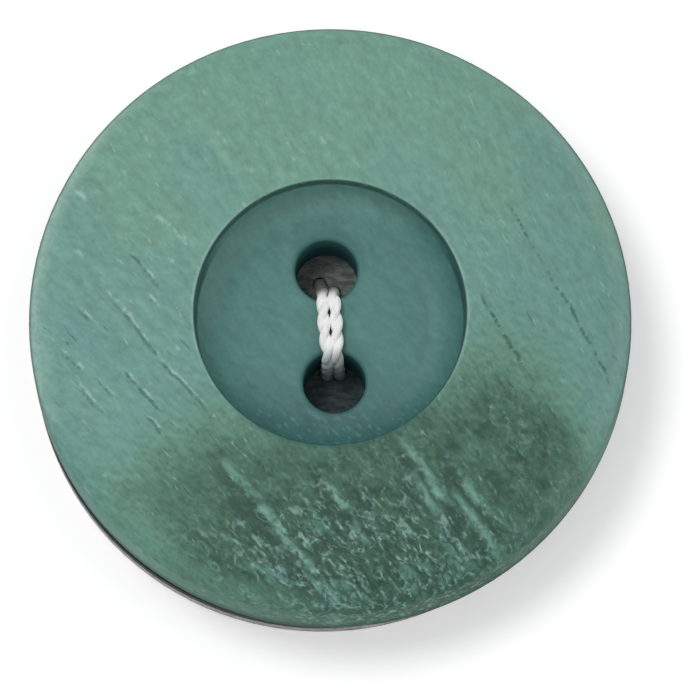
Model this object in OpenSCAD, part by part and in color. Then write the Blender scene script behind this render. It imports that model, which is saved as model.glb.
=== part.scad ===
// Turned sew-through button with two holes, sewn flat to a trimmed backing card by a doubled stitch.
// Lengths are in millimetres and angles in degrees.
// The card lies on z = 0, the button's axis is the Z axis and its holes stand in line along Y.

/* [Button] */
// Outer diameter of the button
button_d = 25; // [22:0.5:32]
// Thickness of the button at its flat rim
button_t = 5.2; // [4.6:0.1:6]
// Radius of the rounded front edge
front_edge_r = 1.5; // [0.8:0.1:2.6]
// Radius of the rounded back edge
back_edge_r = 1.4; // [0.4:0.1:1.6]

/* [Well] */
// Diameter of the well where it opens in the rim
well_d = 11.2; // [10:0.2:14]
// Depth of the well below the rim
well_depth = 2.5; // [1.6:0.1:3]
// Radius of the hollow curve between the well's wall and its floor
well_hollow_r = 1.5; // [0.4:0.1:2.4]
// Radius of the fine break along the well's lip
well_lip_r = 0.1; // [0.05:0.01:0.2]

/* [Sewing holes] */
// Diameter of each sewing hole
hole_d = 2.6; // [2:0.1:2.8]
// Distance between the two holes, centre to centre
hole_pitch = 4.8; // [4.2:0.1:5.4]
// Radius of the rounded hole edges that the thread bears on
hole_edge_r = 0.2; // [0.05:0.01:0.3]

/* [Stitch] */
// Diameter of the sewing thread
thread_d = 0.52; // [0.3:0.02:0.6]
// Clear space between the thread and whatever it bears on
thread_clear = 0.03; // [0.02:0.01:0.08]
// Angle at which the strands leave the hole edges and rise into their low arch
arch_angle = 12; // [2:1:20]
// Distance of the rising punctures from the hole's axis, towards the button's centre
needle_set_in = 0.1; // [0:0.05:0.3]
// Distance by which each rising puncture is staggered along the stitch
needle_stagger = 0.2; // [0:0.05:0.3]
// Length of each trimmed thread end behind the card
tail_l = 1.2; // [0.6:0.1:3]

/* [Backing card] */
// Distance by which the card is trimmed inside the button's edge
card_inset = 0.4; // [0.25:0.05:2]
// Thickness of the card
card_t = 1.2; // [1:0.1:2]
// Offset of the card to the side of the button's axis
card_shift_x = -0.36; // [-0.38:0.02:0.38]
// Offset of the card along the stitch
card_shift_y = -0.06; // [-0.24:0.02:0.24]
// Clear space between the thread and the wall of each puncture
puncture_clear = 0.04; // [0.03:0.01:0.1]
// Height of the bedded thread above the surface that the card lies on
bed_rise = 0.05; // [0.02:0.01:0.1]

/* [Hidden] */

// Facets of a drawn circle, sides of the thread's section and steps in each of its bends
$fn = 96;
thread_sides = 8;
bend_steps = 4;
arch_steps = 6;
// How far a cutting shape runs past the face that it cuts
overcut = 1;
// Narrowest flat land round a sewing hole
hole_land = 0.1;

button_r = button_d / 2;
well_r = well_d / 2;
hole_r = hole_d / 2;
hole_y = hole_pitch / 2;
thread_r = thread_d / 2;
card_r = button_r - card_inset;

// Heights of the well's floor, in the button's own frame and above the surface
well_floor = button_t - well_depth;
floor_z = card_t + well_floor;
// The hollow curve ends a narrow flat land short of the rounded hole edges
well_curve_r = min(well_hollow_r, well_r - hole_y - hole_r - hole_edge_r - hole_land);

// The two strands lie side by side, this far from the button's centre plane
strand_x = (thread_d + thread_clear) / 2;
// Where a strand drops straight down beside the hole's wall
drop_y = hole_y - sqrt(pow(hole_r - thread_r - thread_clear, 2) - pow(strand_x, 2));
// Where each strand comes up through the card
rise_y = hole_y - needle_set_in;
rise_ys = [rise_y + needle_stagger, rise_y - needle_stagger];
// Bend of a strand over a hole's rounded edge, and its centre in the upper hole
edge_bend_r = hole_edge_r + thread_r + thread_clear;
edge_bend_c = [drop_y - edge_bend_r, floor_z - hole_edge_r];
// Height of the bedded thread, and its bend between the bed and a puncture
bed_z = bed_rise + thread_r;
bed_bend_r = thread_r + 3 * thread_clear;
bed_bend_z = bed_z + bed_bend_r;
bed_depth = bed_rise + thread_d + thread_clear;
bed_r = strand_x + thread_r + puncture_clear;
bed_ends = [-drop_y - tail_l, rise_ys[0] + tail_l];

// Points on an arc in the Y-Z plane, from angle a0 to angle a1
function arc(c, r, a0, a1) =
    [for (i = [0:bend_steps]) let (a = a0 + (a1 - a0) * i / bend_steps) c + r * [cos(a), sin(a)]];

// Angle at which a line from point p touches the circle round c, on the upper side
function touch_angle(p, c, r) =
    let (d = p - c) atan2(d[1], d[0]) + acos(r / norm(d));

// Points of the low arch between the two hole edges, from its start to its mirrored end
function arch(start, slope) =
    [for (i = [1:arch_steps - 1])
        let (s = 1 - 2 * i / arch_steps)
        [start[0] * s, start[1] + slope * start[0] * (1 - s * s) / 2]];

function mirrored(points) =
    [for (i = [len(points) - 1:-1:0]) [-points[i][0], points[i][1]]];

// One turn over the button: out of the card at height z, over both hole edges and down to the card
function turn_over(from_y) =
    let (
        start = [from_y, card_t],
        edge = arc(edge_bend_c, edge_bend_r, touch_angle(start, edge_bend_c, edge_bend_r), 90 - arch_angle),
        drop = arc(edge_bend_c, edge_bend_r, 0, 90 - arch_angle)
    )
    concat([start], edge, arch(edge[bend_steps], tan(arch_angle)), mirrored(drop));

// Bends that bring the thread from its bed up into a puncture, from the tail side or from the bar
function rise_from_tail(y) = arc([y + bed_bend_r, bed_bend_z], bed_bend_r, 270, 180);
function rise_from_bar(y) = arc([y - bed_bend_r, bed_bend_z], bed_bend_r, -90, 0);

// The whole thread: tail, first turn, bar behind the card, second turn, tail
function at_x(points, x) = [for (p = points) [x, p[0], p[1]]];

first_turn = concat(
    [[bed_ends[1], bed_z]],
    rise_from_tail(rise_ys[0]),
    turn_over(rise_ys[0]),
    mirrored(rise_from_bar(drop_y))
);
second_turn = concat(
    rise_from_bar(rise_ys[1]),
    turn_over(rise_ys[1]),
    mirrored(rise_from_tail(drop_y)),
    [[bed_ends[0], bed_z]]
);
thread_route = concat(at_x(first_turn, -strand_x), at_x(second_turn, strand_x));

// Round section carried along a route that never runs along X
function unit(v) = v / norm(v);

function heading(route, i) =
    unit(route[min(i + 1, len(route) - 1)] - route[max(i - 1, 0)]);

function section_ring(route, i, r) =
    let (t = heading(route, i), u = unit(cross(t, [1, 0, 0])), v = cross(t, u))
    [for (k = [0:thread_sides - 1])
        let (a = 360 * k / thread_sides)
        route[i] + r * (cos(a) * u + sin(a) * v)];

module swept_thread(route, r) {
    n = thread_sides;
    last = len(route) - 1;
    points = [for (i = [0:last]) each section_ring(route, i, r)];
    walls = [for (i = [0:last - 1], k = [0:n - 1])
        let (next = (k + 1) % n)
        [i * n + k, (i + 1) * n + k, (i + 1) * n + next, i * n + next]];
    start_cap = [for (k = [0:n - 1]) k];
    end_cap = [for (k = [n - 1:-1:0]) last * n + k];
    polyhedron(points, concat([start_cap], walls, [end_cap]));
}

// What is left of a square corner outside a quarter round of radius r about the origin
module corner_waste(r) {
    difference() {
        square(r + overcut);
        circle(r);
    }
}

// Half section of the well, with its floor on the X axis
module well_section() {
    difference() {
        square([well_r, well_depth + overcut]);
        translate([well_r - well_curve_r, well_curve_r])
            mirror([0, 1])
                corner_waste(well_curve_r);
    }
}

// Half section of the button as it leaves the lathe
module button_section() {
    difference() {
        square([button_r, button_t]);
        translate([button_r - front_edge_r, button_t - front_edge_r])
            corner_waste(front_edge_r);
        translate([button_r - back_edge_r, back_edge_r])
            mirror([0, 1])
                corner_waste(back_edge_r);
        translate([0, well_floor])
            well_section();
        translate([well_r + well_lip_r, button_t - well_lip_r])
            mirror([1, 0])
                corner_waste(well_lip_r);
    }
}

// Half section of the wall round a hole, rounded at the floor and at the back
module hole_wall_section() {
    difference() {
        square([hole_edge_r + overcut, well_floor]);
        translate([hole_edge_r, well_floor - hole_edge_r])
            mirror([1, 0])
                corner_waste(hole_edge_r);
        translate([hole_edge_r, hole_edge_r])
            mirror([1, 0])
                mirror([0, 1])
                    corner_waste(hole_edge_r);
    }
}

// Drill for one sewing hole, flared at both ends
module hole_drill() {
    rotate_extrude()
        difference() {
            translate([0, -overcut])
                square([hole_r + hole_edge_r, well_floor + 2 * overcut]);
            translate([hole_r, 0])
                hole_wall_section();
        }
}

module button() {
    color("#6f9b8c")
        translate([0, 0, card_t])
            difference() {
                rotate_extrude()
                    button_section();
                for (side = [-1, 1])
                    translate([0, side * hole_y, 0])
                        hole_drill();
            }
}

module stitch_thread() {
    color("#e9e9e6")
        swept_thread(thread_route, thread_r);
}

// Needle puncture through the card
module puncture(x, y) {
    translate([x, y, -overcut])
        cylinder(r = thread_r + puncture_clear, h = card_t + 2 * overcut);
}

// Groove that the drawn stitch presses into the card's underside
module stitch_bed() {
    translate([0, 0, -overcut])
        linear_extrude(bed_depth + overcut) {
            translate([-bed_r, bed_ends[0]])
                square([2 * bed_r, bed_ends[1] - bed_ends[0]]);
            for (y = bed_ends)
                translate([0, y])
                    circle(bed_r);
        }
}

module backing_card() {
    color("#3a3d3c")
        difference() {
            translate([card_shift_x, card_shift_y, 0])
                cylinder(r = card_r, h = card_t);
            stitch_bed();
            for (i = [0, 1]) {
                puncture((2 * i - 1) * strand_x, rise_ys[i]);
                puncture((2 * i - 1) * strand_x, -drop_y);
            }
        }
}

button();
stitch_thread();
backing_card();
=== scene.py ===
"""Looks of a turned vegetable-ivory button that is sewn to a dark backing card with doubled white thread."""

import math

import bmesh
import bpy
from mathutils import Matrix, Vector


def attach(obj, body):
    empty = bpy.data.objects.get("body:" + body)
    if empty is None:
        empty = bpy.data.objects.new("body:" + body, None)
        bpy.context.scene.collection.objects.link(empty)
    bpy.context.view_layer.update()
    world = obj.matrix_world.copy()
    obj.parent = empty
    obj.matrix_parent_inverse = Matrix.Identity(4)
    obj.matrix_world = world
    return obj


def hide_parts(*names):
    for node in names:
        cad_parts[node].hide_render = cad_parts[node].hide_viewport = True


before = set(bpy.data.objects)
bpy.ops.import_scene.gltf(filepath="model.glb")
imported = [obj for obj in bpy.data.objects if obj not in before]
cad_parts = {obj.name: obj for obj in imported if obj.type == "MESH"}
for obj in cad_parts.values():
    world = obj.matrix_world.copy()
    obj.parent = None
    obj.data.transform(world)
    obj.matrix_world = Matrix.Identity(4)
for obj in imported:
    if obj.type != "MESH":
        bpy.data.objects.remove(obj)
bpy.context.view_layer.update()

MM = 0.001

# Driving sizes of the part, in millimetres, as its source gives them
CARD_T = 1.2
BUTTON_R = 12.5
BUTTON_T = 5.2
WELL_R = 5.6
WELL_DEPTH = 2.5
HOLE_R = 1.3
HOLE_PITCH = 4.8
HOLE_EDGE_R = 0.2
THREAD_R = 0.26
THREAD_CLEAR = 0.03
ARCH_ANGLE = 12
NEEDLE_SET_IN = 0.1
NEEDLE_STAGGER = 0.2
TAIL_L = 1.2
BED_RISE = 0.05
RIM_Z = CARD_T + BUTTON_T
FLOOR_Z = RIM_Z - WELL_DEPTH

# How the button lies in view: turn of its stitch, height of the camera and slant of its grain, in degrees
VIEW_TURN = -4
VIEW_ELEVATION = 76.5
GRAIN_SLANT = 55


# Node helpers

class Finish:
    """A material under construction, with short names for the nodes that this object's finishes use."""

    def __init__(self, name):
        self.material = bpy.data.materials.new(name)
        self.material.use_nodes = True
        self.tree = self.material.node_tree
        self.tree.nodes.clear()
        out = self.add("ShaderNodeOutputMaterial")
        self.surface = self.add("ShaderNodeBsdfPrincipled")
        self.join(self.surface.outputs["BSDF"], out.inputs["Surface"])

    def add(self, kind, **settings):
        node = self.tree.nodes.new(kind)
        for key, value in settings.items():
            setattr(node, key, value)
        return node

    def join(self, source, socket):
        self.tree.links.new(source, socket)

    def feed(self, socket, value):
        if isinstance(value, bpy.types.NodeSocket):
            self.join(value, socket)
        else:
            socket.default_value = value

    def set(self, **values):
        """Values of the surface, by the names of its sockets with underscores for spaces."""
        for name, value in values.items():
            self.feed(self.surface.inputs[name.replace("_", " ")], value)

    def math(self, operation, a, b=0.0, c=0.0):
        node = self.add("ShaderNodeMath", operation=operation)
        for socket, value in zip(node.inputs, (a, b, c)):
            self.feed(socket, value)
        return node.outputs[0]

    def product(self, first, *others):
        for other in others:
            first = self.math("MULTIPLY", first, other)
        return first

    def largest(self, first, *others):
        for other in others:
            first = self.math("MAXIMUM", first, other)
        return first

    def length(self, a, b):
        return self.math("SQRT", self.math("ADD", self.math("MULTIPLY", a, a), self.math("MULTIPLY", b, b)))

    def step(self, value, low, high, to_low=0.0, to_high=1.0):
        """Smooth step of a value from low to high."""
        node = self.add("ShaderNodeMapRange", interpolation_type="SMOOTHSTEP")
        names = ("Value", "From Min", "From Max", "To Min", "To Max")
        for name, v in zip(names, (value, low, high, to_low, to_high)):
            self.feed(node.inputs[name], v)
        return node.outputs["Result"]

    def mix(self, factor, a, b, blend="MIX"):
        node = self.add("ShaderNodeMix", data_type="RGBA", blend_type=blend)
        self.feed(node.inputs["Factor"], factor)
        self.feed(node.inputs[6], a)
        self.feed(node.inputs[7], b)
        return node.outputs[2]

    def shaded(self, colour, factor):
        """A colour made darker or paler by a factor."""
        return self.mix(1.0, colour, factor, blend="MULTIPLY")

    def millimetres(self, turn=0.0):
        """Object coordinates in millimetres, turned about the button's axis."""
        coords = self.add("ShaderNodeTexCoord")
        return self.mapped(coords.outputs["Object"], turn=turn, scale=(1 / MM,) * 3)

    def mapped(self, vector, turn=0.0, scale=(1, 1, 1), shift=(0, 0, 0)):
        mapping = self.add("ShaderNodeMapping")
        mapping.inputs["Scale"].default_value = scale
        mapping.inputs["Rotation"].default_value = (0, 0, math.radians(turn))
        mapping.inputs["Location"].default_value = shift
        self.join(vector, mapping.inputs["Vector"])
        return mapping.outputs["Vector"]

    def vector(self, x, y, z):
        node = self.add("ShaderNodeCombineXYZ")
        for socket, value in zip(node.inputs, (x, y, z)):
            self.join(value, socket)
        return node.outputs[0]

    def split(self, vector):
        node = self.add("ShaderNodeSeparateXYZ")
        self.join(vector, node.inputs[0])
        return node.outputs[0], node.outputs[1], node.outputs[2]

    def noise(self, vector, scale=1.0, detail=2.0, roughness=0.5, distortion=0.0):
        node = self.add("ShaderNodeTexNoise")
        self.join(vector, node.inputs["Vector"])
        node.inputs["Scale"].default_value = scale
        node.inputs["Detail"].default_value = detail
        node.inputs["Roughness"].default_value = roughness
        node.inputs["Distortion"].default_value = distortion
        return node.outputs["Fac"]

    def drawn_noise(self, vector, scale, shift=(0, 0, 0), detail=3, roughness=0.6):
        """Noise with its own scale along each axis, moved by shift to a place of its own."""
        return self.noise(self.mapped(vector, scale=scale, shift=shift), 1.0, detail, roughness)

    def emboss(self, vector, shift, detail, roughness):
        """Painted light and shade of a noise's relief: its rise towards the light, which lies the way of
        shift, pale above zero and dark below.
        """
        here = self.noise(vector, 1.0, detail, roughness)
        there = self.noise(self.mapped(vector, shift=shift), 1.0, detail, roughness)
        return self.math("SUBTRACT", here, there)

    def bump(self, height, distance):
        node = self.add("ShaderNodeBump")
        node.inputs["Strength"].default_value = 1.0
        node.inputs["Distance"].default_value = distance
        self.join(height, node.inputs["Height"])
        return node.outputs["Normal"]


def grey(value):
    return (value, value, value, 1)


# Button finish. Steps on across, up, along, height and radius are in millimetres, and those on noises are
# levels from 0 to 1.

RIM_GREEN = (0.160, 0.328, 0.252, 1)
RIM_TEAL = (0.146, 0.310, 0.280, 1)
RIM_MOSS = (0.115, 0.255, 0.178, 1)
# Colour of the painted shade towards the right of the rim
RIM_SHADE = (0.080, 0.175, 0.155, 1)
# Colour of the painted highlight along the rim's edges
RIM_HIGHLIGHT = (0.290, 0.460, 0.390, 1)
SKIN_GREEN = (0.058, 0.148, 0.097, 1)
SKIN_DARK = (0.026, 0.079, 0.053, 1)
SKIN_BLACK = (0.016, 0.052, 0.042, 1)
CLOUD_TEAL = (0.094, 0.232, 0.181, 1)
STREAK_TEAL = (0.152, 0.335, 0.270, 1)
CRUMB_PALE = (0.262, 0.455, 0.368, 1)
CRUMB_BLUE = (0.250, 0.428, 0.395, 1)
WELL_TEAL = (0.090, 0.232, 0.212, 1)
WELL_DEEP = (0.044, 0.144, 0.140, 1)
WELL_PALE = (0.185, 0.370, 0.335, 1)
WELL_LINE = (0.022, 0.072, 0.062, 1)
# Colours of the painted shade down the holes and in the pores
HOLE_PAINTED_SHADE = (0.004, 0.098, 0.105, 1)
PORE_SHADE = (0.028, 0.100, 0.088, 1)
PORE_PALE = (0.400, 0.580, 0.520, 1)

# Upper edge of the marbled skin from left to right, in millimetres across and up, and the line that ends it
# on the left, by its slope and place
SKIN_EDGE = (
    (-12, -9.4), (-8.0, -7.4), (-6.4, -5.9), (-4.6, -4.9), (1, -4.6), (4.2, -3.4),
    (6.3, -2.2), (8.0, -2.3), (9.4, -3.7), (10.6, -6.0), (12.5, -9.0),
)
SKIN_LEFT = (0.34, 10.6)
# Middle of the broken, flecked part of the skin, and its height as a share of its width
BROKEN_AT = (1.0, -10.9)
BROKEN_SHARE = 0.62
# Middles of the painted shade on the floor round the two holes
HOLE_SHADES = ((-0.10, 2.68), (0.27, -2.15))
# Direction in which the well's hollow faces the light, across and up; painted light on the hollow grows this
# way and painted shade the other
WELL_LIGHT = (-0.5, 0.87)
# Share by which the grain spreads for each millimetre along it
GRAIN_FAN = 0.0135
# Marks that run with the grain: place across it, start and end along it, in millimetres
GROWTH_LINES = (
    (-6.60, -5.6, 1.2),
    (-9.35, -5.0, -3.7),
    (-9.80, -3.6, -1.7),
    (-9.05, -3.3, -2.0),
    (-7.98, -2.9, -0.4),
    (-8.55, -0.9, 0.3),
    (-8.00, -0.1, 0.5),
    (-4.88, -6.9, -4.7),
    (-5.43, -5.1, -4.1),
    (-7.70, -6.2, -5.2),
)
PALE_LINES = (
    (-9.22, -5.8, -3.7),
    (-3.05, -7.4, -5.5),
    (-6.45, -6.2, -4.4),
)
PALE_CHIPS = (
    (-4.82, -10.45, -9.60),
    (-3.09, -7.60, -7.00),
    (-2.98, -6.30, -5.80),
    (-6.29, -8.35, -7.70),
    (-5.76, -2.60, -2.10),
    (-3.76, -5.85, -5.30),
    (3.89, -10.60, -10.15),
    (-1.76, -10.70, -10.20),
    (0.60, -9.20, -8.30),
    (3.72, -6.55, -5.90),
    (0.84, -7.05, -6.65),
)
DOTTED_LINES = (
    (8.80, 0.0, 9.6),
    (5.78, 2.4, 7.6),
)
PALE_STREAKS = (
    (-7.50, 1.8, 9.4),
    (-7.90, 6.6, 11.6),
    (-0.70, 5.4, 10.4),
    (-0.20, 8.6, 13.4),
    (-1.25, 6.8, 10.4),
    (0.55, 7.6, 12.0),
    (-4.60, 5.0, 8.6),
)
DARK_CHANNELS = (
    (-8.30, 2.6, 11.0),
    (-1.00, 8.0, 12.0),
)
# Half widths of the marks where they have faded out, and how far a mark's pale or dark side is set over
LINE_W = 0.10
CHIP_W = 0.15
DOT_W = 0.12
STREAK_W = 0.30
BESIDE_STREAK_W = 0.42
CHANNEL_W = 0.55
# The growth lines' dark side is painted shade and their pale side a painted highlight
PORE_SHIFT = -0.03
HIGHLIGHT_SHIFT = 0.07
BESIDE_STREAK_SHIFT = -0.46
# How strongly the marks and crumbs show
PALE_MARK_AND_HIGHLIGHT_STRENGTH = 0.60
PORE_STRENGTH = 0.55
CHANNEL_STRENGTH = 0.52
CRUMB_SHADE_STRENGTH = 0.85
# Height of the finest relief, in millimetres
NUT_RELIEF = 0.05


class Places:
    """Where a point lies on the button, and the noises that several parts of its finish share."""

    def __init__(self, f):
        self.at = f.millimetres(turn=-VIEW_TURN)
        self.across, self.up, self.height = f.split(self.at)
        self.radius = f.length(self.across, self.up)
        self.rim = f.step(self.radius, WELL_R + 0.01, WELL_R + 0.11)

        # Frame that follows the grain, which fans out slightly from left to right
        self.along, level, deep = f.split(f.mapped(self.at, turn=GRAIN_SLANT))
        over = f.math("MULTIPLY", level, f.math("MULTIPLY_ADD", self.along, GRAIN_FAN, 1.0))
        self.grain = f.vector(self.along, over, deep)
        waver = f.drawn_noise(self.grain, (0.3, 0.3, 0.3), detail=3, roughness=0.5)
        self.bent = f.math("ADD", f.math("MULTIPLY_ADD", waver, -0.7, 0.35), over)

        # Fine and coarser relief for painted light and shade, pale towards the light and dark away from it
        fine = f.mapped(self.grain, scale=(2.4, 3.6, 3.0))
        self.tooth = f.emboss(fine, (-0.35, 0.35, 0), detail=3, roughness=0.6)
        coarser = f.mapped(self.grain, scale=(1.3, 2.0, 2.0))
        self.crumb = f.emboss(coarser, (-0.20, 0.30, 0), detail=3, roughness=0.58)
        self.speck = f.drawn_noise(self.grain, (1.5, 3.0, 2.0), detail=4, roughness=0.7)
        self.mottle = f.noise(self.at, 1.1, detail=5, roughness=0.62)


def curve_across(f, value, points, span):
    """A smooth curve through given points, read by a value that runs over plus and minus span."""
    ramp = f.add("ShaderNodeValToRGB")
    ramp.color_ramp.interpolation = "B_SPLINE"
    stops = ramp.color_ramp.elements
    while len(stops) < len(points):
        stops.new(0.5)
    for stop, (place, height) in zip(stops, points):
        stop.position = (place + span) / (2 * span)
        stop.color = grey((height + span) / (2 * span))
    f.join(f.math("MULTIPLY_ADD", value, 0.5 / span, 0.5), ramp.inputs["Fac"])
    return f.math("MULTIPLY_ADD", ramp.outputs["Color"], 2 * span, -span)


def grain_marks(f, along, over, marks, width, shift=0.0, core=0.0, fade=0.4):
    """Marks that run with the grain, set over by shift, solid to core and faded out at width."""
    shown = []
    for place, start, end in marks:
        off = f.math("ABSOLUTE", f.math("SUBTRACT", over, place + shift))
        reach = f.math("MULTIPLY", f.step(along, start, start + fade), f.step(along, end, end - fade))
        shown.append(f.math("MULTIPLY", f.step(off, width, core), reach))
    return f.largest(*shown)


def curls(f, vector, shift):
    """Fine curled veins of the skin, moved by shift."""
    level = f.noise(f.mapped(vector, shift=shift), detail=1.5, roughness=0.5, distortion=0.3)
    return f.step(f.math("ABSOLUTE", f.math("SUBTRACT", level, 0.5)), 0.085, 0.0)


def rim_colour(f, p):
    """Dye of the rim, which drifts between green and teal, with a fine tooth, painted shade towards the
    right and a painted highlight along the edge at the left.
    """
    drift = f.drawn_noise(p.grain, (0.12, 0.3, 0.2), detail=4, roughness=0.6)
    bluer = f.math("ADD", drift, f.step(p.up, 7.0, -3.0, -0.13, 0.13))
    bluer_right = f.math("MULTIPLY", f.step(p.across, 4.0, 11.0, 0.0, 0.16), f.step(p.up, 5.0, 0.0))
    bluer = f.math("ADD", bluer, bluer_right)
    colour = f.mix(f.step(bluer, 0.32, 0.68), RIM_GREEN, RIM_TEAL)
    # Painted shade towards the right of the rim
    shade = f.math("MULTIPLY", f.step(p.across, 2.0, 11.0, 0.0, 0.20), f.step(p.radius, 12.4, 11.2))
    colour = f.mix(shade, colour, RIM_SHADE)
    colour = f.shaded(colour, f.mix(p.speck, grey(0.62), grey(1.38)))
    band = f.drawn_noise(p.grain, (0.25, 2.6, 1.0), shift=(3, 1, 5))
    swing = f.math("MULTIPLY", f.math("SUBTRACT", band, 0.5), f.step(p.across, 4.0, -5.0, 0.06, 0.30))
    colour = f.shaded(colour, f.math("ADD", swing, 1.0))
    # Painted highlight along the rim's outer edge, strongest at the left
    painted_edge_highlight = f.math("ADD", f.step(p.radius, 11.5, 12.1, 0.0, 0.5), f.step(p.radius, 12.0, 12.25, 0.0, 0.5))
    painted_edge_highlight = f.product(
        painted_edge_highlight,
        f.step(p.across, -6.0, -11.0, 0.0, 0.95),
        f.step(p.up, -6.0, -2.0),
        f.step(p.speck, 0.35, 0.62, 0.60, 1.0),
    )
    return f.mix(painted_edge_highlight, colour, RIM_HIGHLIGHT)


def marbling(f, p, broken):
    """Dark and green marbling of the skin, clouded where it is broken, and the clouds themselves."""
    fresh = f.math("ADD", p.mottle, f.step(p.across, 0.0, -6.0, 0.0, 0.07))
    marbled = f.mix(f.step(fresh, 0.36, 0.60), SKIN_DARK, SKIN_GREEN)
    marbled = f.mix(f.math("MULTIPLY", broken, 0.45), marbled, SKIN_DARK)
    cloud = f.drawn_noise(p.grain, (0.55, 1.25, 1.0), shift=(5, 2, 1), detail=4)
    clouded = f.math("MULTIPLY", f.step(cloud, 0.50, 0.64), f.math("MULTIPLY_ADD", broken, 0.6, 0.25))
    return f.mix(clouded, marbled, CLOUD_TEAL), cloud


def with_streaks(f, p, marbled):
    """The marbling with its pale streaks, each beside a dark channel."""
    ragged = f.math("MULTIPLY_ADD", p.mottle, 0.8, f.math("ADD", p.bent, -0.4))
    streak = grain_marks(f, p.along, ragged, PALE_STREAKS, STREAK_W, core=0.02, fade=1.6)
    beside = grain_marks(
        f, p.along, ragged, PALE_STREAKS, BESIDE_STREAK_W, shift=BESIDE_STREAK_SHIFT, core=0.08, fade=1.6
    )
    channel = grain_marks(f, p.along, p.bent, DARK_CHANNELS, CHANNEL_W, core=0.12, fade=2.0)
    channel = f.largest(beside, channel)
    marbled = f.mix(f.math("MULTIPLY", channel, CHANNEL_STRENGTH), marbled, SKIN_BLACK)
    shown = f.math("MULTIPLY", streak, f.step(p.mottle, 0.36, 0.56, 0.12, 0.85))
    return f.mix(shown, marbled, STREAK_TEAL)


def with_crumbs(f, p, marbled, cloud, coarse):
    """The marbling with pale crumbs and curls, a painted highlight on their side towards the light and
    painted shade on the other, and how far they stand out.
    """
    tile = f.mapped(p.grain, scale=(1.35, 1.95, 1.8), shift=(3, 8, 0))
    gap = f.drawn_noise(p.grain, (1.7, 2.2, 2.0), shift=(1, 4, 7))
    patchy = f.math("MULTIPLY", f.step(gap, 0.42, 0.62), coarse)
    pale = f.math("MULTIPLY", curls(f, tile, (0, 0, 0)), patchy)
    # Painted highlight on the crumbs' side towards the light
    pale = f.largest(pale, f.math("MULTIPLY", f.step(p.crumb, 0.04, 0.21), coarse))
    # Painted shade beside the curls and on the crumbs' side away from the light
    dark = f.math("MULTIPLY", curls(f, tile, (0.06, 0.30, 0)), coarse)
    dark = f.largest(dark, f.math("MULTIPLY", f.step(p.crumb, -0.02, -0.20), coarse))
    marbled = f.mix(f.math("MULTIPLY", dark, CRUMB_SHADE_STRENGTH), marbled, SKIN_BLACK)
    fleck = f.mix(f.step(cloud, 0.42, 0.58), CRUMB_PALE, CRUMB_BLUE)
    shown = f.math("MULTIPLY", pale, f.step(p.speck, 0.40, 0.56, 0.18, 1.0))
    return f.mix(shown, marbled, fleck), pale


def with_skin(f, p, colour):
    """The rim with the nut's skin along its lower side, and how far the skin's crumbs stand out."""
    wander = f.noise(p.at, 0.55, detail=5, roughness=0.65)
    edge = curve_across(f, p.across, SKIN_EDGE, BUTTON_R)
    left = f.math("ADD", p.across, f.math("MULTIPLY_ADD", p.up, *SKIN_LEFT))
    inward = f.math("MINIMUM", f.math("SUBTRACT", edge, p.up), left)
    depth = f.math("ADD", f.math("MULTIPLY_ADD", wander, 3.6, -1.8), inward)
    colour = f.mix(f.step(depth, -3.8, 0.2, 0.0, 0.75), colour, RIM_MOSS)
    grit = f.math("MULTIPLY_ADD", p.speck, 4.0, -2.0)
    skin = f.step(f.math("ADD", depth, grit), -0.9, 1.8)
    bare = f.step(p.across, -3.0, 2.0, 0.50, 0.92)
    skin = f.math("MULTIPLY", skin, f.step(p.radius, 11.4, 12.3, 1.0, bare))

    # Smooth at the left, granular at the right and broken in the middle
    beside = f.math("MULTIPLY", f.math("SUBTRACT", p.across, BROKEN_AT[0]), BROKEN_SHARE)
    away = f.length(beside, f.math("SUBTRACT", p.up, BROKEN_AT[1]))
    broken = f.step(f.math("MULTIPLY_ADD", wander, 3.0, away), 7.2, 2.8)
    coarse = f.math("MULTIPLY_ADD", broken, 0.72, f.step(p.across, -8.0, 6.0, 0.07, 0.23))

    marbled, cloud = marbling(f, p, broken)
    marbled = with_streaks(f, p, marbled)
    marbled, pale = with_crumbs(f, p, marbled, cloud, coarse)
    colour = f.mix(skin, colour, marbled)
    # Painted light on the right and lower edges, which lie in shade
    painted_edge_light = f.largest(f.step(p.across, 6.0, 11.0, 0.0, 0.20), f.step(p.up, -9.0, -11.5, 0.0, 0.03))
    colour = f.mix(f.math("MULTIPLY", f.step(p.radius, 11.3, 12.1), painted_edge_light), colour, RIM_HIGHLIGHT)
    # Painted light and shade of the fine relief, stronger in the skin
    lit = f.math("MULTIPLY_ADD", p.tooth, f.step(depth, -4.0, -0.5, 0.28, 0.70), 1.0)
    return f.shaded(colour, lit), f.math("MULTIPLY", pale, skin)


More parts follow.
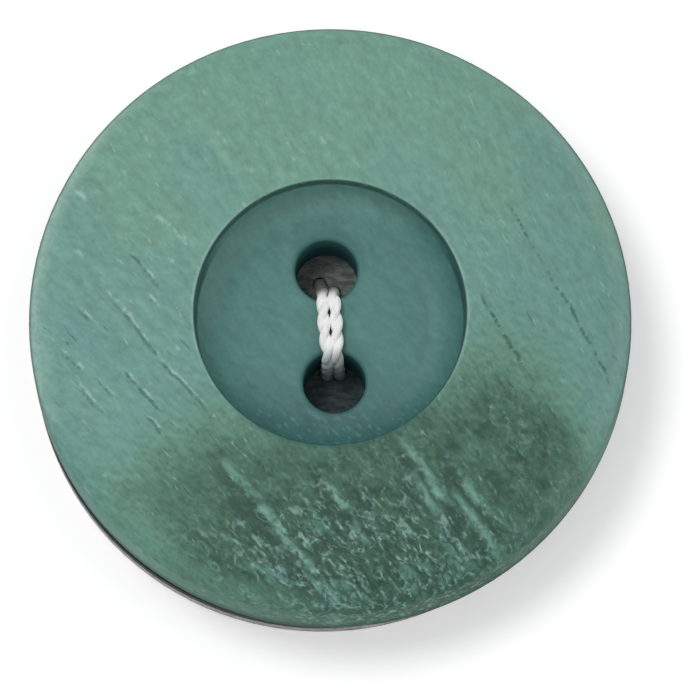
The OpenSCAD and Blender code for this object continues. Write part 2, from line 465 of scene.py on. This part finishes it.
def with_marks(f, p, colour):
    """The rim with growth lines, dotted lines, chips and stray pores, painted shade in them and painted
    highlights beside the growth lines, and how deep they go.
    """
    shake = f.drawn_noise(p.grain, (2.2, 2.2, 1.0), shift=(6, 1, 0))
    rough = f.math("ADD", p.bent, f.math("MULTIPLY_ADD", shake, 0.22, -0.11))

    dash = f.drawn_noise(p.grain, (3.0, 1.6, 1.0), detail=4, roughness=0.7)
    hair = f.drawn_noise(p.grain, (0.8, 5.2, 1.0), shift=(2, 7, 0), roughness=0.55)
    flank = f.largest(f.step(p.across, -3.5, -7.0), f.step(p.across, 5.5, 9.0, 0.0, 0.8))
    flank = f.math("MULTIPLY", flank, f.step(p.up, 3.0, -1.0))
    lines = grain_marks(f, p.along, rough, GROWTH_LINES, LINE_W, shift=PORE_SHIFT)
    lines = f.math("MULTIPLY", lines, f.step(dash, 0.36, 0.62, 0.15, 1.0))
    dots = grain_marks(f, p.along, rough, DOTTED_LINES, DOT_W, fade=1.2)
    dots = f.math("MULTIPLY", dots, f.step(dash, 0.43, 0.60, 0.18, 1.15))
    stray = f.math("MULTIPLY", f.step(hair, 0.64, 0.80), flank)
    pore = f.math("MULTIPLY", f.largest(lines, dots, stray), p.rim)

    gleam = f.drawn_noise(p.grain, (2.0, 1.3, 1.0), shift=(4, 6, 0), roughness=0.65)
    fray = f.drawn_noise(p.grain, (1.3, 4.6, 1.0), shift=(9, 3, 0))
    # Painted highlight on the lit side of the growth lines, with pale lines, frays and chips
    lip = f.largest(
        grain_marks(f, p.along, rough, GROWTH_LINES, LINE_W, shift=HIGHLIGHT_SHIFT),
        grain_marks(f, p.along, rough, PALE_LINES, LINE_W),
    )
    lip = f.math("MULTIPLY", lip, f.step(gleam, 0.40, 0.60))
    chips = grain_marks(f, p.along, rough, PALE_CHIPS, CHIP_W, fade=0.3)
    chips = f.math("MULTIPLY", chips, f.step(p.speck, 0.38, 0.52, 0.35, 1.0))
    lip = f.largest(lip, f.step(fray, 0.64, 0.76, 0.0, 0.8), chips)
    lip = f.math("MULTIPLY", lip, p.rim)

    colour = f.mix(f.math("MULTIPLY", lip, PALE_MARK_AND_HIGHLIGHT_STRENGTH), colour, PORE_PALE)
    # Painted shade in the pores and grooves
    return f.mix(f.math("MULTIPLY", pore, PORE_STRENGTH), colour, PORE_SHADE), pore


def with_dark_side(f, p, colour):
    """The rim with painted shade low on its side and in a thin line along its edge."""
    # Painted shade low on the button's side and in a thin line along its edge
    low = f.step(p.height, CARD_T + 2.3, CARD_T + 1.3, 0.0, 0.85)
    edge_shade_line = f.step(f.math("MULTIPLY_ADD", p.up, 0.008, p.radius), 12.34, 12.48)
    edge_shade_line = f.math("MULTIPLY", edge_shade_line, f.step(p.up, -10.5, -0.5, 0.0, 0.85))
    return f.mix(f.largest(low, edge_shade_line), colour, SKIN_DARK)


def well_colour(f, p):
    """Polished well, deeper in colour low down, with painted light and shade on its hollow and painted shade
    round the holes and down their walls.
    """
    well = f.mix(f.step(p.up, -1.4, -5.2), WELL_TEAL, WELL_DEEP)
    # Painted light on the hollow's upper left and painted shade on its lower right
    toward = f.math("MULTIPLY_ADD", p.across, WELL_LIGHT[0], f.math("MULTIPLY", p.up, WELL_LIGHT[1]))
    hollow = f.step(p.radius, 4.3, 5.4)
    well = f.mix(f.math("MULTIPLY", hollow, f.step(toward, 0.0, 4.6, 0.0, 0.9)), well, WELL_PALE)
    well = f.mix(f.math("MULTIPLY", hollow, f.step(toward, 0.5, -3.5, 0.0, 0.35)), well, WELL_DEEP)
    dye = f.drawn_noise(p.grain, (0.9, 1.8, 1.0), detail=5, roughness=0.7)
    well = f.shaded(well, f.mix(dye, grey(0.66), grey(1.34)))
    # Painted light and shade of the fine relief
    well = f.shaded(well, f.math("MULTIPLY_ADD", p.tooth, 0.30, 1.0))
    scuff = f.math("MULTIPLY", f.step(p.crumb, 0.03, 0.18), f.step(p.up, -2.6, -4.2, 0.08, 0.36))
    well = f.mix(scuff, well, WELL_PALE)
    # Painted shade on the floor round each hole
    for hole_across, hole_up in HOLE_SHADES:
        near = f.length(f.math("SUBTRACT", p.across, hole_across), f.math("SUBTRACT", p.up, hole_up))
        well = f.mix(f.step(near, 1.85, 1.25, 0.0, 0.55), well, WELL_DEEP)
    # Painted shade down the walls of the holes
    hole_wall_shade = f.math("MULTIPLY", f.step(p.height, FLOOR_Z - 0.02, FLOOR_Z - 1.5), f.step(p.radius, 4.4, 4.2))
    return f.mix(hole_wall_shade, well, HOLE_PAINTED_SHADE)


def with_well(f, p, colour, well):
    """The rim and the well together, with a painted highlight on the lip between them, a darker band beside
    it low down and painted shade in a thin line under it.
    """
    # Painted highlight on the lip
    bright = f.product(
        f.step(p.radius, WELL_R + 0.22, WELL_R + 0.10),
        f.step(p.speck, 0.3, 0.6, 0.2, 0.6),
        f.math("MULTIPLY", f.step(p.up, -4.5, -1.0), f.step(p.up, 4.8, 2.4, 0.1, 0.6)),
    )
    colour = f.mix(bright, colour, PORE_PALE)
    dull = f.step(p.radius, WELL_R + 0.34, WELL_R + 0.08)
    dull = f.math("MULTIPLY", dull, f.step(p.up, -3.6, -5.0, 0.0, 0.45))
    colour = f.mix(dull, colour, WELL_LINE)
    colour = f.mix(p.rim, well, colour)
    # Painted shade in a thin line on the steep wall under the lip
    line = f.product(
        f.step(p.radius, WELL_R - 0.11, WELL_R - 0.04),
        f.largest(f.step(p.height, RIM_Z - 0.8, RIM_Z - 0.4), f.step(p.up, 4.0, 1.5)),
        f.step(p.radius, WELL_R + 0.08, WELL_R + 0.04),
        f.step(p.speck, 0.30, 0.50, 0.5, 0.85),
    )
    return f.mix(line, colour, WELL_LINE)


def dyed_nut():
    f = Finish("dyed_nut_satin")
    p = Places(f)
    colour, crumbs = with_skin(f, p, rim_colour(f, p))
    colour, pore = with_marks(f, p, colour)
    colour = with_dark_side(f, p, colour)
    colour = with_well(f, p, colour, well_colour(f, p))
    rise = f.math("SUBTRACT", f.product(p.speck, p.rim, 0.30), pore)
    rise = f.math("MULTIPLY_ADD", crumbs, 0.30, rise)
    side = f.math("MULTIPLY", f.step(p.radius, 11.0, 11.8), f.step(p.height, RIM_Z - 0.1, RIM_Z - 0.9))
    f.set(
        Base_Color=colour,
        Normal=f.bump(rise, NUT_RELIEF * MM),
        Specular_IOR_Level=f.step(side, 0.0, 1.0, 0.3, 0.05),
        Roughness=f.step(p.rim, 0.0, 1.0, 0.50, 0.56),
    )
    return f.material


# Thread finish

THREAD_WHITE = (0.985, 0.985, 0.980, 1)
THREAD_SOFT = (0.900, 0.900, 0.900, 1)
# Colours of the painted shade on the strands in the holes
THREAD_SHADE = (0.240, 0.305, 0.310, 1)
THREAD_DARK = grey(0.07)
LINT_RELIEF = 0.006


def white_thread():
    """White lint, with painted shade where the strands go down into the lower hole and up out of the upper
    one.
    """
    f = Finish("white_thread_fibre")
    at = f.millimetres()
    _, along, height = f.split(at)
    lint = f.drawn_noise(at, (9.0, 1.6, 3.0), detail=4, roughness=0.65)
    colour = f.mix(f.step(lint, 0.34, 0.58), THREAD_SOFT, THREAD_WHITE)
    # Painted shade where the strands go down into the lower hole and rise out of the upper one
    colour = f.mix(f.step(along, -0.95, -1.5, 0.0, 0.50), colour, THREAD_SHADE)
    within = f.step(height, CARD_T - 0.6, CARD_T)
    sunk_shade = f.math("MULTIPLY", f.step(height, FLOOR_Z, FLOOR_Z - 2.2, 0.0, 0.7), within)
    colour = f.mix(sunk_shade, colour, THREAD_SHADE)
    risen_shade = f.math("MULTIPLY", f.step(along, 1.05, 1.70, 0.0, 0.93), within)
    colour = f.mix(risen_shade, colour, THREAD_DARK)
    f.set(
        Base_Color=colour,
        Roughness=0.7,
        Sheen_Weight=0.1,
        Normal=f.bump(f.noise(at, 30.0), LINT_RELIEF * MM),
    )
    return f.material


# Card finish

BOARD_PALER = (0.180, 0.205, 0.195, 1)
BOARD_GREY = (0.060, 0.080, 0.086, 1)
BOARD_BLACK = (0.042, 0.058, 0.064, 1)
BOARD_CORE = (0.400, 0.385, 0.375, 1)
FIBRE_RELIEF = 0.06


def dark_board():
    """Charcoal face, paler towards the upper hole, on a pale core."""
    f = Finish("dark_board_paper")
    at = f.millimetres(turn=-VIEW_TURN)
    across, up, height = f.split(at)
    fibre = f.drawn_noise(at, (2.0, 5.0, 5.0), detail=5, roughness=0.7)
    colour = f.mix(f.step(up, -2.5, 2.5), BOARD_GREY, BOARD_PALER)
    colour = f.mix(f.step(f.length(across, up), 11.0, 11.4), colour, BOARD_BLACK)
    ply = f.math("MULTIPLY_ADD", fibre, 0.3, height)
    colour = f.mix(f.step(ply, 0.92, 0.78), colour, BOARD_CORE)
    colour = f.shaded(colour, f.mix(f.step(fibre, 0.36, 0.64), grey(0.62), grey(1.38)))
    f.set(
        Base_Color=colour,
        Roughness=0.9,
        Specular_IOR_Level=0.2,
        Normal=f.bump(fibre, FIBRE_RELIEF * MM),
    )
    return f.material


# Thread route, the same as the part's solid thread: points are (y, z) in millimetres until the strands part

STRAND_X = THREAD_R + THREAD_CLEAR / 2
HOLE_Y = HOLE_PITCH / 2
DROP_Y = HOLE_Y - math.sqrt((HOLE_R - THREAD_R - THREAD_CLEAR) ** 2 - STRAND_X ** 2)
RISE_YS = (HOLE_Y - NEEDLE_SET_IN + NEEDLE_STAGGER, HOLE_Y - NEEDLE_SET_IN - NEEDLE_STAGGER)
EDGE_BEND_R = HOLE_EDGE_R + THREAD_R + THREAD_CLEAR
EDGE_BEND = (DROP_Y - EDGE_BEND_R, FLOOR_Z - HOLE_EDGE_R)
BED_Z = BED_RISE + THREAD_R
BED_BEND_R = THREAD_R + 3 * THREAD_CLEAR
BED_BEND_Z = BED_Z + BED_BEND_R
BEND_STEPS = 8
ARCH_STEPS = 12


def arc(centre, radius, start, end):
    angles = [math.radians(start + (end - start) * i / BEND_STEPS) for i in range(BEND_STEPS + 1)]
    return [(centre[0] + radius * math.cos(a), centre[1] + radius * math.sin(a)) for a in angles]


def touch_angle(point, centre, radius):
    """Angle at which a line from the point touches the circle, on its upper side."""
    dy, dz = point[0] - centre[0], point[1] - centre[1]
    return math.degrees(math.atan2(dz, dy) + math.acos(radius / math.hypot(dy, dz)))


def mirrored(points):
    return [(-y, z) for y, z in reversed(points)]


def arch(start):
    """The low arch between the two hole edges, from its start to its mirrored end."""
    slope = math.tan(math.radians(ARCH_ANGLE))
    shares = [1 - 2 * i / ARCH_STEPS for i in range(1, ARCH_STEPS)]
    return [(start[0] * s, start[1] + slope * start[0] * (1 - s * s) / 2) for s in shares]


def turn_over(from_y):
    """One turn over the button: out of the card, over both hole edges and down to the card."""
    start = (from_y, CARD_T)
    over = arc(EDGE_BEND, EDGE_BEND_R, touch_angle(start, EDGE_BEND, EDGE_BEND_R), 90 - ARCH_ANGLE)
    drop = arc(EDGE_BEND, EDGE_BEND_R, 0, 90 - ARCH_ANGLE)
    return [start] + over + arch(over[-1]) + mirrored(drop)


def rise_from_tail(y):
    return arc((y + BED_BEND_R, BED_BEND_Z), BED_BEND_R, 270, 180)


def rise_from_bar(y):
    return arc((y - BED_BEND_R, BED_BEND_Z), BED_BEND_R, -90, 0)


def thread_route():
    """Points of the whole thread: tail, turn, bar behind the card, turn, tail."""
    first = [(RISE_YS[0] + TAIL_L, BED_Z)] + rise_from_tail(RISE_YS[0]) + turn_over(RISE_YS[0])
    first += mirrored(rise_from_bar(DROP_Y))
    second = rise_from_bar(RISE_YS[1]) + turn_over(RISE_YS[1]) + mirrored(rise_from_tail(DROP_Y))
    second += [(-DROP_Y - TAIL_L, BED_Z)]
    route = [Vector((-STRAND_X, y, z)) for y, z in first]
    return route + [Vector((STRAND_X, y, z)) for y, z in second]


# Thread piece: two plies of filaments, twisted together along the route, with lengths in millimetres

ROUTE_STEP = 0.07
PLIES = 2
PLY_R = 0.19
PLY_OFFSET = 0.095
PLY_PITCH = 1.7
FILAMENTS = 13
FILAMENT_PITCH = 1.4
FILAMENT_R = 0.042
# Where a slit shows between the strands, and how far they are pressed together there and at either end
SLIT_Y = -0.3
SLIT_PINCH = 0.07
UPPER_PINCH = 0.26
LOWER_PINCH = 0.34
# Where the strands begin to close in above and below the slit, and the length over which they do
UPPER_PINCH_Y = 0.7
LOWER_PINCH_Y = -0.5
PINCH_RUN = 0.6


def even_points(route, spacing):
    """The route again, with points an even distance apart."""
    lengths = [0.0]
    for a, b in zip(route, route[1:]):
        lengths.append(lengths[-1] + (b - a).length)
    count = round(lengths[-1] / spacing)
    points, i = [], 0
    for k in range(count + 1):
        s = lengths[-1] * k / count
        while i < len(route) - 2 and lengths[i + 1] < s:
            i += 1
        share = (s - lengths[i]) / (lengths[i + 1] - lengths[i])
        points.append(route[i].lerp(route[i + 1], share))
    return points


def share_of(length, whole):
    return min(max(length / whole, 0.0), 1.0)


def drawn_in(point):
    """A point of the thread, drawn towards the other strand above the card, and more so near the holes."""
    free = share_of(point.z - CARD_T, FLOOR_Z - CARD_T)
    upper = share_of(point.y - UPPER_PINCH_Y, PINCH_RUN)
    lower = share_of(LOWER_PINCH_Y - point.y, PINCH_RUN)
    pinch = SLIT_PINCH + upper * (UPPER_PINCH - SLIT_PINCH) + lower * (LOWER_PINCH - SLIT_PINCH)
    return Vector((point.x * (1 - pinch * free), point.y, point.z))


def twist_of(points):
    """Pitch and start of the twist, so that both strands are slimmest where a slit shows."""
    tops = [
        k for k in range(1, len(points))
        if points[k].z > FLOOR_Z and points[k - 1].y > SLIT_Y >= points[k].y
    ]
    half_turns = round((tops[1] - tops[0]) * ROUTE_STEP / (PLY_PITCH / 2))
    pitch = 2 * (tops[1] - tops[0]) * ROUTE_STEP / half_turns
    return pitch, -tops[0] * ROUTE_STEP / pitch


def filament_points(points, ply, filament, pitch, start):
    """Points of one filament, which winds round its ply while the ply winds round the thread."""
    last = len(points) - 1
    for k, point in enumerate(points):
        ahead = (points[min(k + 1, last)] - points[max(k - 1, 0)]).normalized()
        side = ahead.cross(Vector((1, 0, 0))).normalized()
        over = ahead.cross(side)
        s = k * ROUTE_STEP
        a = 2 * math.pi * (s / pitch + start + ply / PLIES)
        b = 2 * math.pi * (filament / FILAMENTS - s / FILAMENT_PITCH)
        place = point + PLY_OFFSET * (math.cos(a) * side + math.sin(a) * over)
        yield place + (PLY_R - FILAMENT_R) * (math.cos(b) * side + math.sin(b) * over)


def plied_mesh():
    points = even_points([drawn_in(point) for point in thread_route()], ROUTE_STEP)
    pitch, start = twist_of(points)
    curve = bpy.data.curves.new("stitch_plies", "CURVE")
    curve.dimensions = "3D"
    curve.bevel_depth = FILAMENT_R * MM
    curve.bevel_resolution = 1
    curve.use_fill_caps = True
    for ply in range(PLIES):
        for filament in range(FILAMENTS):
            spline = curve.splines.new("POLY")
            spline.points.add(len(points) - 1)
            for k, place in enumerate(filament_points(points, ply, filament, pitch, start)):
                spline.points[k].co = (*(place * MM), 1)
    shape = bpy.data.objects.new("stitch_plies_curve", curve)
    bpy.context.collection.objects.link(shape)
    mesh = bpy.data.meshes.new_from_object(shape.evaluated_get(bpy.context.evaluated_depsgraph_get()))
    bpy.data.objects.remove(shape)
    mesh.name = "stitch_plies"
    mesh.shade_smooth()
    return mesh


def plied_thread():
    piece = bpy.data.objects.new("stitch_plies", plied_mesh())
    bpy.context.collection.objects.link(piece)
    piece.data.materials.clear()
    piece.data.materials.append(white_thread())
    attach(piece, "root")
    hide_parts("stitch_thread")


# Stage, light and camera, in metres unless a comment says otherwise

FLOOR_R = 1.5
FLOOR_WHITE = 0.97
FLOOR_LIFT = 0.25
# Radii between which the floor's lift sets in from under the card, in millimetres
LIFT_FROM = (10.5, 11.5)
KEY_DIRECTION = (-0.30, 0.20, 1.0)
KEY_DISTANCE = 0.6
KEY_SIZE = 0.2
KEY_POWER = 1.02
WORLD_STRENGTH = 0.84
CAMERA_DISTANCE = 0.30
SENSOR_WIDTH_MM = 36
# Width of the view, point aimed at and its shift in the view, in millimetres
FRAME_WIDTH = 29.2
AIM = (0.0, 0.0, 3.2)
VIEW_SHIFT = (0.82, -0.83)


def pale_floor():
    """White floor, lifted where it is seen so that it stays as bright as the open background."""
    bm = bmesh.new()
    bmesh.ops.create_circle(bm, cap_ends=True, segments=64, radius=FLOOR_R)
    mesh = bpy.data.meshes.new("floor")
    bm.to_mesh(mesh)
    bm.free()
    floor = bpy.data.objects.new("floor", mesh)
    bpy.context.collection.objects.link(floor)
    f = Finish("floor_white")
    rays = f.add("ShaderNodeLightPath").outputs
    seen = f.largest(rays["Is Camera Ray"], rays["Is Glossy Ray"], rays["Is Transmission Ray"])
    across, up, _ = f.split(f.millimetres())
    lift = f.step(f.length(across, up), *LIFT_FROM, 0.0, FLOOR_LIFT)
    f.set(
        Base_Color=grey(FLOOR_WHITE),
        Roughness=1.0,
        Specular_IOR_Level=0.0,
        Emission_Color=grey(1.0),
        Emission_Strength=f.math("MULTIPLY", seen, lift),
    )
    mesh.materials.append(f.material)


def aim(obj, place, target):
    obj.location = place
    obj.rotation_mode = "QUATERNION"
    obj.rotation_quaternion = (Vector(target) - Vector(place)).to_track_quat("-Z", "Y")


def key_light():
    lamp = bpy.data.lights.new("key_upper_left", "AREA")
    lamp.shape = "DISK"
    lamp.size = KEY_SIZE
    lamp.energy = KEY_POWER
    obj = bpy.data.objects.new("key_upper_left", lamp)
    bpy.context.collection.objects.link(obj)
    aim(obj, Vector(KEY_DIRECTION).normalized() * KEY_DISTANCE, (0, 0, 0))


def studio_world():
    """Even white light from all round, with a plain white background."""
    world = bpy.data.worlds.new("studio_white")
    bpy.context.scene.world = world
    world.use_nodes = True
    tree = world.node_tree
    tree.nodes.clear()
    out = tree.nodes.new("ShaderNodeOutputWorld")
    glow = tree.nodes.new("ShaderNodeBackground")
    seen = tree.nodes.new("ShaderNodeBackground")
    path = tree.nodes.new("ShaderNodeLightPath")
    mix = tree.nodes.new("ShaderNodeMixShader")
    glow.inputs["Strength"].default_value = WORLD_STRENGTH
    seen.inputs["Strength"].default_value = 1.0
    tree.links.new(path.outputs["Is Camera Ray"], mix.inputs[0])
    tree.links.new(glow.outputs[0], mix.inputs[1])
    tree.links.new(seen.outputs[0], mix.inputs[2])
    tree.links.new(mix.outputs[0], out.inputs[0])


def camera():
    data = bpy.data.cameras.new("camera")
    cam = bpy.data.objects.new("camera", data)
    bpy.context.collection.objects.link(cam)
    turn, rise = math.radians(VIEW_TURN), math.radians(VIEW_ELEVATION)
    back = Vector((math.sin(turn) * math.cos(rise), -math.cos(turn) * math.cos(rise), math.sin(rise)))
    right = Vector((math.cos(turn), math.sin(turn), 0))
    lift = back.cross(right)
    target = Vector(AIM) + VIEW_SHIFT[0] * right + VIEW_SHIFT[1] * lift
    aim(cam, target * MM + back * CAMERA_DISTANCE, target * MM)
    data.sensor_width = SENSOR_WIDTH_MM
    data.lens = SENSOR_WIDTH_MM * CAMERA_DISTANCE / (FRAME_WIDTH * MM)
    data.clip_start = 0.01
    data.clip_end = 10
    bpy.context.scene.camera = cam


def dress(node, material):
    """Gives one of the part's solids its finish."""
    for material_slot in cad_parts[node].material_slots:
        material_slot.material = material


camera()
dress("button", dyed_nut())
dress("backing_card", dark_board())
plied_thread()
pale_floor()
key_light()
studio_world()
bpy.context.scene.view_settings.view_transform = "Standard"
